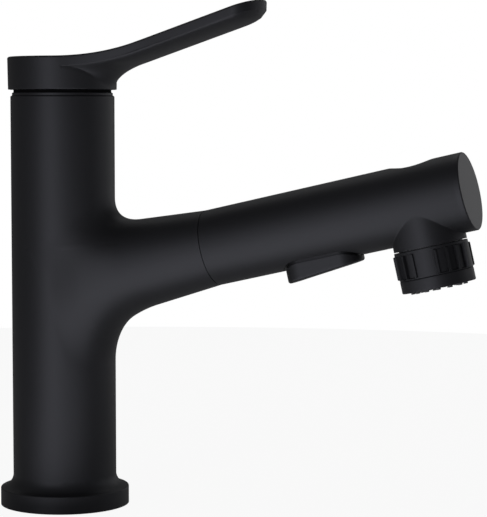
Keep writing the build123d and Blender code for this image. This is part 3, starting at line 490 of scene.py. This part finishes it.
def ring_skin():
    """Grip ring. A turned profile whose radius varies with angle and height: four groups of four raised bars,
    a shallow pocket between the bars of a group, and one fine line round it under them."""
    turn = np.linspace(-np.pi, np.pi, 1200, endpoint=False)
    soft = np.linspace(-RIB_ROWS, RIB_ROWS, 7)
    t = np.r_[np.linspace(RING_TOP + RING_EDGE + RING_ROW, RIB_TOP - RING_EDGE, 3), RIB_TOP + soft,
              np.linspace(RIB_TOP + RIB_CLEAR, RIB_END - RIB_CLEAR, 8), RIB_END + soft,
              BAND_LINE + np.linspace(-BAND_LINE_HALF, BAND_LINE_HALF, 9),
              np.linspace(BAND_LINE + RIB_CLEAR, RING_END - RING_END_EDGE, 6)]
    place = (np.degrees(turn) - RIB_TURN) % 90
    bar = np.min([np.abs(place - RIB_PITCH * k) for k in range(4)] + [90 - place], axis=0)
    across = np.radians(bar) * RING_R
    rise = 1 - soft_step(across, RIB_W / 2, RIB_SOFT)
    hollow = (place < 3 * RIB_PITCH) * (1 - rise)
    zone = soft_step(t, RIB_TOP, RIB_END_SOFT) * (1 - soft_step(t, RIB_END, RIB_END_SOFT))
    line = np.clip(1 - np.abs(t - BAND_LINE) / BAND_LINE_HALF, 0, 1)
    r = RING_R + zone[:, None] * (RIB_OUT * rise - POCKET * hollow) - BAND_LINE_DEPTH * line[:, None]
    wall = np.stack(np.broadcast_arrays(r * np.cos(turn), r * np.sin(turn), t[:, None]), axis=-1)
    top_edge = corner((RING_R - RING_EDGE, RING_TOP + RING_EDGE), RING_EDGE, -90, 0)
    end_edge = corner((RING_R - RING_END_EDGE, RING_END - RING_END_EDGE), RING_END_EDGE, 0, 90)
    bore = [(RING_BORE + RING_EDGE, RING_END), (RING_BORE, RING_END - RING_EDGE), (RING_BORE, RING_TOP)]
    upper = revolve([(RING_BORE, RING_TOP)] + top_edge, len(turn))
    lower = revolve(end_edge + bore, len(turn))
    turned = np.stack([ALONG, SIDE, DOWN])
    whole = np.concatenate([upper, wall, lower])
    return piece("ring_skin", [(spout_point(NOZZLE_S, 0) + whole @ turned, True)], sharp_deg=50.0)


# Spray head shell

SLOT_MIDDLE = (ROCKER_FRONT + ROCKER_REAR) / 2


def on_head(turn, s):
    """Points of the head's tube at an angle from straight down and at s: a circle whose radius dips, with
    a soft rim, where a sphere over the top has hollowed it."""
    turn, s = np.broadcast_arrays(turn, s)
    centre = TUBE_R + DISH_R - DISH_DEPTH
    towards = -np.cos(turn) * centre
    within = towards ** 2 - (centre ** 2 + (s - DISH_S) ** 2 - DISH_R ** 2)
    hollow = np.where((within > 0) & (towards > 0), towards - np.sqrt(np.maximum(within, 0)), 2 * TUBE_R)
    share = np.maximum(DISH_RIM - np.abs(hollow - TUBE_R), 0) / DISH_RIM
    r = np.minimum(hollow, TUBE_R) - share ** 2 * DISH_RIM / 4
    return in_spout(r * np.sin(turn), s, r * np.cos(turn))


def slot_distance(y, along):
    """Distance from the edge of the rocker's opening: a rectangle with round corners, wider ones in front."""
    half = (ROCKER_FRONT - ROCKER_REAR) / 2 + SLOT_END_GAP
    radius = np.where(along > SLOT_MIDDLE, ROCKER_FRONT_R, ROCKER_REAR_R) + SLOT_GAP
    out_y = np.abs(y) - (ROCKER_HALF + SLOT_GAP - radius)
    out_s = np.abs(along - SLOT_MIDDLE) - (half - radius)
    outside = np.hypot(np.maximum(out_y, 0), np.maximum(out_s, 0))
    return outside + np.minimum(np.maximum(out_y, out_s), 0) - radius


def collar_rows(inner_turn, inner_s, outer_turn, outer_s, count=9):
    """Lines on the tube from an opening's edge out to the frame of its window."""
    share = np.linspace(0, 1, count)[:, None]
    return on_head(inner_turn + (outer_turn - inner_turn) * share, inner_s + (outer_s - inner_s) * share)


def head_skin():
    """Spray head shell. The tube is a grid of angles and lengths with two windows on its underside. In one,
    lines run to the boss's circle, through a small hollow blend and down the boss. In the other, they run to
    the rocker's opening and up into its pocket. The insides are blind turned recesses."""
    turn = np.radians(np.arange(-180, 180, 1.5))
    s = np.r_[np.linspace(HEAD_START, SLOT_WINDOW[0], 10), np.linspace(*SLOT_WINDOW, 30)[1:],
              np.linspace(SLOT_WINDOW[1], BOSS_WINDOW[0], 5)[1:], np.linspace(*BOSS_WINDOW, 56)[1:],
              HEAD_END]
    tube = on_head(turn, s[:, None])
    keep, frames = True, []
    for reach, ends in ((SLOT_REACH, SLOT_WINDOW), (BOSS_REACH, BOSS_WINDOW)):
        columns = [int(np.argmin(np.abs(np.degrees(turn) - side))) for side in (-reach, reach)]
        rows = [int(np.argmin(np.abs(s - end))) for end in ends]
        keep = keep & outside_window(turn, s, columns, rows)
        frames.append(window_frame(turn, s, columns, rows))

    frame_turn, frame_s = frames[0]

    def on_line(share):
        return frame_turn * share, SLOT_MIDDLE + (frame_s - SLOT_MIDDLE) * share

    def in_slot(share):
        a, along = on_line(share)
        return slot_distance(TUBE_R * np.sin(a), along) < 0

    edge_turn, edge_s = on_line(edge_share(in_slot, len(frame_s)))
    slot_collar = collar_rows(edge_turn, edge_s, frame_turn, frame_s)
    edge_y, edge_t = TUBE_R * np.sin(edge_turn), TUBE_R * np.cos(edge_turn)
    pocket = np.stack([in_spout(edge_y, edge_s, edge_t), in_spout(edge_y, edge_s, SLOT_FLOOR),
                       in_spout(0 * edge_y, SLOT_MIDDLE, SLOT_FLOOR)])

    frame_turn, frame_s = frames[1]
    spin = np.arctan2(TUBE_R * np.sin(frame_turn), frame_s - NOZZLE_S)
    bend = np.radians(np.linspace(0, 90, 8))[:, None]
    r = HEAD_BOSS_R + HEAD_BOSS_FILLET * (1 - np.sin(bend))
    root_t = np.sqrt(TUBE_R ** 2 - (r * np.sin(spin)) ** 2) + HEAD_BOSS_FILLET * (1 - np.cos(bend))
    blend = in_spout(r * np.sin(spin), NOZZLE_S + r * np.cos(spin), root_t)
    edge_turn = np.arcsin(r[0] * np.sin(spin) / TUBE_R)
    boss_collar = collar_rows(edge_turn, NOZZLE_S + r[0] * np.cos(spin), frame_turn, frame_s)
    share = np.linspace(0, 1, 10)[:, None]
    wall = in_spout(HEAD_BOSS_R * np.sin(spin), NOZZLE_S + HEAD_BOSS_R * np.cos(spin),
                    root_t[-1] + (HEAD_BOSS_END - root_t[-1]) * share)
    bore = [(HEAD_BOSS_R, HEAD_BOSS_END), (HEAD_BOSS_BORE, HEAD_BOSS_END), (HEAD_BOSS_BORE, HEAD_BOSS_FLOOR),
            (0.0, HEAD_BOSS_FLOOR)]
    inside = np.stack([in_spout(a * np.sin(spin), NOZZLE_S + a * np.cos(spin), t) for a, t in bore])
    ends = []
    for end, floor_s in ((HEAD_START, HEAD_START + HEAD_PLUG), (HEAD_END, HEAD_END - HEAD_PLUG)):
        profile = [(TUBE_R, end), (HEAD_BORE, end), (HEAD_BORE, floor_s), (0.0, floor_s)]
        ends.append((np.stack([spout_ring(a, v, turn) for a, v in profile]), True))
    pieces = [tube, slot_collar, pocket, boss_collar, blend, wall, inside]
    return piece("head_skin", [(grid, True) for grid in pieces] + ends, keep=keep)


# Rocker button

def rocker_skin():
    """Rocker button. Its plan is a rectangle with round corners, wider ones in front. The plan loop is swept
    down the wall and through a rounded edge, and drawn in to a middle line on the sloping face and the top.
    Above the wall it is drawn in to a neck, which leaves a shadow gap along the tube's sides."""
    front = ROCKER_FRONT - ROCKER_FRONT_R, ROCKER_FRONT_R
    back = ROCKER_REAR + ROCKER_REAR_R, ROCKER_REAR_R
    arcs = []
    for side, start, (centre_s, radius) in ((1, 0, front), (-1, 90, front), (-1, 180, back), (1, 270, back)):
        arcs += corner((side * (ROCKER_HALF - radius), centre_s), radius, start, start + 90, 24)
    loop = np.array(arcs)
    normal = plan_normals(loop)
    middle = np.clip(loop[:, 1], ROCKER_REAR + ROCKER_SPINE, ROCKER_FRONT - ROCKER_SPINE)
    spine = np.stack([np.zeros(len(loop)), middle], axis=-1)
    slope = (ROCKER_FRONT_T - ROCKER_REAR_T) / (ROCKER_FRONT - ROCKER_REAR)
    neck = loop - normal * ROCKER_NECK
    rows = [np.c_[spine + (neck - spine) * k, np.full(len(loop), ROCKER_TOP)] for k in (0.0, 0.5, 1.0)]
    brow = np.sqrt(TUBE_R ** 2 - loop[:, 0] ** 2) + ROCKER_REVEAL * np.abs(loop[:, 0]) / ROCKER_HALF
    foot = ROCKER_REAR_T + slope * (loop[:, 1] - ROCKER_REAR) - ROCKER_EDGE
    rows.append(np.c_[neck, brow])
    rows += [np.c_[loop, brow + (foot - brow) * k] for k in np.linspace(0, 1, 8)]
    for a in np.radians(np.linspace(0, 90, 8))[1:]:
        rows.append(np.c_[loop - normal * ROCKER_EDGE * (1 - math.cos(a)), foot + ROCKER_EDGE * math.sin(a)])
    inner = loop - normal * ROCKER_EDGE
    for k in np.linspace(1, 0, 10)[1:]:
        flat = spine + (inner - spine) * k
        rows.append(np.c_[flat, ROCKER_REAR_T + slope * (flat[:, 1] - ROCKER_REAR)])
    return piece("rocker_skin", [(in_spout(*np.moveaxis(np.stack(rows), -1, 0)), True)], sharp_deg=50.0)


# Materials

CLOUDS = 14.0


def node(tree, kind, **values):
    """A node with some of its settings and unlinked inputs filled in."""
    made = tree.nodes.new(kind)
    for key, value in values.items():
        if key in made.inputs:
            made.inputs[key].default_value = value
        else:
            setattr(made, key, value)
    return made


def shades(tree, source, low, high, dark, light):
    """Colour ramp from dark to light between two values of a source."""
    ramp = node(tree, "ShaderNodeValToRGB")
    ramp.color_ramp.elements[0].position = low
    ramp.color_ramp.elements[0].color = (*dark, 1)
    ramp.color_ramp.elements[1].position = high
    ramp.color_ramp.elements[1].color = (*light, 1)
    tree.links.new(source, ramp.inputs["Fac"])
    return ramp.outputs["Color"]


def spread(tree, source, low, high):
    """Map a 0 to 1 source onto the range low to high."""
    mapped = node(tree, "ShaderNodeMapRange")
    mapped.inputs["To Min"].default_value = low
    mapped.inputs["To Max"].default_value = high
    tree.links.new(source, mapped.inputs["Value"])
    return mapped.outputs["Result"]


def surface(name, dark, light, rough, grain, bump, metallic=0.0, specular=0.5, stretch=(1, 1, 1),
            tint=(1, 1, 1)):
    """Material with cloudy colour, fine grain in its roughness and a shallow grain bump.
    grain is the number of grains per metre, bump their height in metres, stretch the grain's direction."""
    made = bpy.data.materials.new(name)
    made.use_nodes = True
    tree = made.node_tree
    shader = tree.nodes["Principled BSDF"]
    shader.inputs["Metallic"].default_value = metallic
    shader.inputs["Specular IOR Level"].default_value = specular
    shader.inputs["Specular Tint"].default_value = (*tint, 1)
    where = node(tree, "ShaderNodeTexCoord")
    mapping = node(tree, "ShaderNodeMapping", Scale=stretch)
    tree.links.new(where.outputs["Object"], mapping.inputs["Vector"])
    big = node(tree, "ShaderNodeTexNoise", Scale=CLOUDS, Detail=3.0, Roughness=0.5)
    fine = node(tree, "ShaderNodeTexNoise", Scale=grain, Detail=2.0, Roughness=0.6)
    tree.links.new(where.outputs["Object"], big.inputs["Vector"])
    tree.links.new(mapping.outputs["Vector"], fine.inputs["Vector"])
    tree.links.new(shades(tree, big.outputs["Fac"], 0.35, 0.65, dark, light), shader.inputs["Base Color"])
    tree.links.new(spread(tree, fine.outputs["Fac"], *rough), shader.inputs["Roughness"])
    relief = node(tree, "ShaderNodeBump", Strength=1.0, Distance=bump)
    tree.links.new(fine.outputs["Fac"], relief.inputs["Height"])
    tree.links.new(relief.outputs["Normal"], shader.inputs["Normal"])
    return made


def grey(value):
    """Neutral colour with a trace of blue."""
    return (value, value, value * 1.12)


def black(name, dark, light, rough, grain=2600.0, specular=0.38):
    """Black finish with a fine, shallow grain, whose shine is a little blue."""
    return surface(name, grey(dark), grey(light), rough, grain, 1.0e-5, specular=specular,
                   tint=(0.86, 0.875, 1.0))


def spout_radius(tree):
    """Distance of the shaded point from the spout's axis, in metres."""
    where = node(tree, "ShaderNodeTexCoord")
    down = node(tree, "ShaderNodeVectorMath", operation="DOT_PRODUCT")
    down.inputs[1].default_value = (math.sin(SPOUT), 0, -math.cos(SPOUT))
    tree.links.new(where.outputs["Object"], down.inputs[0])
    below = node(tree, "ShaderNodeMath", operation="ADD")
    below.inputs[1].default_value = SPOUT_Z * MM * math.cos(SPOUT)
    tree.links.new(down.outputs["Value"], below.inputs[0])
    apart = node(tree, "ShaderNodeSeparateXYZ")
    tree.links.new(where.outputs["Object"], apart.inputs["Vector"])
    flat = node(tree, "ShaderNodeCombineXYZ")
    tree.links.new(below.outputs["Value"], flat.inputs["X"])
    tree.links.new(apart.outputs["Y"], flat.inputs["Y"])
    length = node(tree, "ShaderNodeVectorMath", operation="LENGTH")
    tree.links.new(flat.outputs["Vector"], length.inputs[0])
    return length.outputs["Value"]


def fade_painted_light_to_rim(made, start, end, rim):
    """Blend a material's colour into a rim colour towards the outside of the spout's circle;
    on the end face this keeps its painted light off the rounded rim.
    """
    tree = made.node_tree
    shader = tree.nodes["Principled BSDF"]
    colour = shader.inputs["Base Color"].links[0].from_socket
    share = node(tree, "ShaderNodeMapRange")
    share.inputs["From Min"].default_value = start * MM
    share.inputs["From Max"].default_value = end * MM
    tree.links.new(spout_radius(tree), share.inputs["Value"])
    mixed = node(tree, "ShaderNodeMixRGB")
    mixed.inputs["Color2"].default_value = (*rim, 1)
    tree.links.new(share.outputs["Result"], mixed.inputs["Fac"])
    tree.links.new(colour, mixed.inputs["Color1"])
    tree.links.new(mixed.outputs["Color"], shader.inputs["Base Color"])


def braid(made, threads, dark, light, height):
    """Weave two crossing sets of threads, so many round the hose, into a material: their waves, multiplied,
    give its colour and its bump, by the hose's UV map."""
    tree = made.node_tree
    shader = tree.nodes["Principled BSDF"]
    where = node(tree, "ShaderNodeTexCoord")
    apart = node(tree, "ShaderNodeSeparateXYZ")
    tree.links.new(where.outputs["UV"], apart.inputs["Vector"])
    weave = node(tree, "ShaderNodeMath", operation="MULTIPLY")
    for number, slant in enumerate(("ADD", "SUBTRACT")):
        across = node(tree, "ShaderNodeMath", operation=slant)
        tree.links.new(apart.outputs["X"], across.inputs[0])
        tree.links.new(apart.outputs["Y"], across.inputs[1])
        turns = node(tree, "ShaderNodeMath", operation="MULTIPLY")
        turns.inputs[1].default_value = 2 * math.pi * threads
        tree.links.new(across.outputs["Value"], turns.inputs[0])
        wave = node(tree, "ShaderNodeMath", operation="SINE")
        tree.links.new(turns.outputs["Value"], wave.inputs[0])
        tree.links.new(wave.outputs["Value"], weave.inputs[number])
    lift = node(tree, "ShaderNodeMapRange")
    lift.inputs["From Min"].default_value = -1
    tree.links.new(weave.outputs["Value"], lift.inputs["Value"])
    tree.links.new(shades(tree, lift.outputs["Result"], 0.25, 0.75, dark, light), shader.inputs["Base Color"])
    relief = node(tree, "ShaderNodeBump", Strength=1.0, Distance=height)
    tree.links.new(lift.outputs["Result"], relief.inputs["Height"])
    tree.links.new(relief.outputs["Normal"], shader.inputs["Normal"])


COAT = black("powder_coat", 0.005, 0.0057, (0.49, 0.57))
SHELL = black("shell_lacquer", 0.005, 0.0057, (0.49, 0.57))
PLASTIC = black("black_plastic", 0.0042, 0.005, (0.49, 0.57), 3200.0, 0.37)
# Painted shadow: a near-black with almost no shine, darker than the coat, for the collar deep in the gap
# under the cap.
SHADOW = black("painted_shadow_black", 0.0015, 0.002, (0.8, 0.9), 3200.0, 0.06)
# Painted light: the end face is the shell's black given a lighter colour in place of light falling on it from
# the right; its rim keeps the plain black.
PAINTED_LIGHT_END_FACE = black("end_face_painted_light", 0.029, 0.034, (0.45, 0.52))
fade_painted_light_to_rim(PAINTED_LIGHT_END_FACE, 15.1, 15.35, grey(0.0053))
DARK_RUBBER = surface("dark_rubber", grey(0.012), grey(0.018), (0.65, 0.8), 1800.0, 2e-5, specular=0.3)
HOSE_BRAID = surface("hose_braid", grey(0.01), grey(0.02), (0.4, 0.5), 1800.0, 1e-5, specular=0.4)
braid(HOSE_BRAID, 14, grey(0.006), grey(0.035), 2.5e-4)
NUB_RUBBER = surface("nub_rubber", grey(0.05), grey(0.07), (0.55, 0.7), 1800.0, 1e-5, specular=0.4)
GREY_PLASTIC = surface("grey_plastic", grey(0.16), grey(0.2), (0.4, 0.5), 1500.0, 1e-5)
WHITE_PLASTIC = surface("white_plastic", (0.6, 0.6, 0.57), (0.66, 0.66, 0.63), (0.4, 0.5), 1500.0, 1e-5)
CERAMIC = surface("ceramic", (0.74, 0.72, 0.66), (0.8, 0.78, 0.73), (0.15, 0.22), 900.0, 2e-6)
BRASS = surface("turned_brass", (0.56, 0.38, 0.14), (0.66, 0.47, 0.2), (0.24, 0.36), 400.0, 6e-6,
                metallic=1.0, stretch=(1, 1, 8))
STEEL = surface("turned_steel", (0.48, 0.48, 0.48), (0.58, 0.58, 0.58), (0.22, 0.34), 400.0, 5e-6,
                metallic=1.0, stretch=(1, 1, 8))

looks = {
    COAT: "body_casting handle",
    SHADOW: "neck_ring",
    SHELL: "head_shell",
    PLASTIC: "screw_plug rocker_button nozzle_ring spray_face",
    PAINTED_LIGHT_END_FACE: "head_end_cap",
    DARK_RUBBER: "foot_gasket port_seals spigot_seal spool_seals nozzle_seal spray_hose",
    NUB_RUBBER: "nozzle_pad",
    GREY_PLASTIC: "dock_bush cartridge_turret disc_carrier head_spigot diverter_spool nozzle_nipple "
                  "spray_distributor aerator_insert",
    WHITE_PLASTIC: "cartridge_base cartridge_housing check_valve head_core",
    CERAMIC: "fixed_disc moving_disc",
    BRASS: "foot_block hot_pipe cold_pipe mixed_pipe hose_coupling cartridge_nut swivel_nut",
    STEEL: "pivot_pin lever_stem set_screw hose_ferrule rocker_pin",
}
for made, names in looks.items():
    for name in names.split():
        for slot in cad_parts[name].material_slots:
            slot.material = made


# Pieces on their bodies

handle = handle_skin()
handle.data.materials.append(COAT)
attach(handle, "lever")
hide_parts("handle")

plug = plug_skin()
plug.data.materials.append(PLASTIC)
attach(plug, "lever")
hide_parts("screw_plug")

body = body_skin()
body.data.materials.append(COAT)
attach(body, "mixer_body")
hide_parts("body_casting")

neck = neck_skin()
neck.data.materials.append(COAT)
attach(neck, "mixer_body")
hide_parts("neck_ring")

collar = collar_skin()
# The collar takes the painted-shadow black, which keeps the gap between cap and neck ring dark.
collar.data.materials.append(SHADOW)
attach(collar, "mixer_body")

ring = ring_skin()
ring.data.materials.append(PLASTIC)
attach(ring, "nozzle")
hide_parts("nozzle_ring")

head = head_skin()
head.data.materials.append(SHELL)
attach(head, "spray_head")
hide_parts("head_shell")

rocker = rocker_skin()
rocker.data.materials.append(PLASTIC)
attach(rocker, "rocker")
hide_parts("rocker_button")

hose = hose_skin()
hose.data.materials.append(HOSE_BRAID)
spout_point(HOSE_SLIP, 0) * MM
spout_point(HOSE_END, 0) * MM
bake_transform(hose)
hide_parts("spray_hose")


# Floor, light and camera

FLOOR_R, FLOOR_Z = 700.0, -0.05


def floor_piece():
    """Pale floor disc: rings of points at growing radius on the plane just under the foot."""
    disc = revolve([(r, FLOOR_Z) for r in np.linspace(0.5, FLOOR_R, 24)], 96)
    return piece("floor", [(disc, True)])


def background_share(tree, seen, mirrored):
    """How much of the plain white background a ray meets: seen straight or through glass, or mirrored."""
    ray = node(tree, "ShaderNodeLightPath")
    straight = node(tree, "ShaderNodeMath", operation="MAXIMUM")
    tree.links.new(ray.outputs["Is Camera Ray"], straight.inputs[0])
    tree.links.new(ray.outputs["Is Transmission Ray"], straight.inputs[1])
    direct = node(tree, "ShaderNodeMath", operation="MULTIPLY")
    direct.inputs[1].default_value = seen
    tree.links.new(straight.outputs["Value"], direct.inputs[0])
    total = node(tree, "ShaderNodeMath", operation="MULTIPLY_ADD")
    total.inputs[1].default_value = mirrored
    tree.links.new(ray.outputs["Is Glossy Ray"], total.inputs[0])
    tree.links.new(direct.outputs["Value"], total.inputs[2])
    return total.outputs["Value"]


def mix_out(tree, share, first, second, output):
    """Mix two shaders by a share and send them to the named output."""
    both = node(tree, "ShaderNodeMixShader")
    tree.links.new(share, both.inputs["Fac"])
    tree.links.new(first.outputs[0], both.inputs[1])
    tree.links.new(second.outputs[0], both.inputs[2])
    tree.links.new(both.outputs["Shader"], tree.nodes[output].inputs["Surface"])


floor = floor_piece()
floor_look = bpy.data.materials.new("pale_floor")
floor_look.use_nodes = True
tree = floor_look.node_tree
tree.nodes.remove(tree.nodes["Principled BSDF"])
paint = node(tree, "ShaderNodeBsdfDiffuse", Color=(0.86, 0.86, 0.86, 1))
glow = node(tree, "ShaderNodeEmission", Color=(1, 1, 1, 1), Strength=1.0)
mix_out(tree, background_share(tree, seen=0.93, mirrored=0.07), paint, glow, "Material Output")
floor.data.materials.append(floor_look)

world = bpy.data.worlds.new("studio")
bpy.context.scene.world = world
world.use_nodes = True
tree = world.node_tree
backdrop = tree.nodes["Background"]
backdrop.inputs["Color"].default_value = (1, 1, 1, 1)
room = node(tree, "ShaderNodeBackground", Color=(1, 1, 1, 1), Strength=0.1)
mix_out(tree, background_share(tree, seen=1.0, mirrored=0.05), room, backdrop, "World Output")


def lamp(name, place, aim, width, height, watts):
    """Soft rectangular lamp, placed and aimed in millimetres, unseen by the camera."""
    light = bpy.data.lights.new(name, "AREA")
    light.shape = "RECTANGLE"
    light.size, light.size_y, light.energy = width * MM, height * MM, watts
    obj = bpy.data.objects.new(name, light)
    obj.location = Vector(place) * MM
    obj.rotation_euler = (Vector(aim) - Vector(place)).to_track_quat("-Z", "Y").to_euler()
    obj.visible_camera = False
    bpy.context.scene.collection.objects.link(obj)


MIDDLE = (70, 0, 100)
lamp("key", (-246, -2574, 281), MIDDLE, 1000, 2450, 20.5)
lamp("low_card", (75, -465, 3), (75, -465, 500), 260, 830, 1.25)
lamp("far_card", (15, -700, 3), (15, -700, 500), 340, 800, 1.1)
lamp("side", (848, 449, 163), MIDDLE, 400, 850, 0.8)
lamp("back_card", (375, 837, 225), MIDDLE, 350, 600, 0.46)
lamp("back_top", (-128, 544, 789), MIDDLE, 700, 300, 0.5)

camera = bpy.data.objects.new("camera", bpy.data.cameras.new("camera"))
camera.location = Vector((355.66, -751.42, 165.59)) * MM
aim = Vector((72.10, 26.29, 105.06)) * MM
camera.rotation_euler = (aim - camera.location).to_track_quat("-Z", "Y").to_euler()
camera.data.sensor_width = 36.0
camera.data.lens = 135.47
camera.data.clip_start = 0.01
bpy.context.scene.collection.objects.link(camera)
bpy.context.scene.camera = camera
bpy.context.scene.view_settings.view_transform = "Standard"
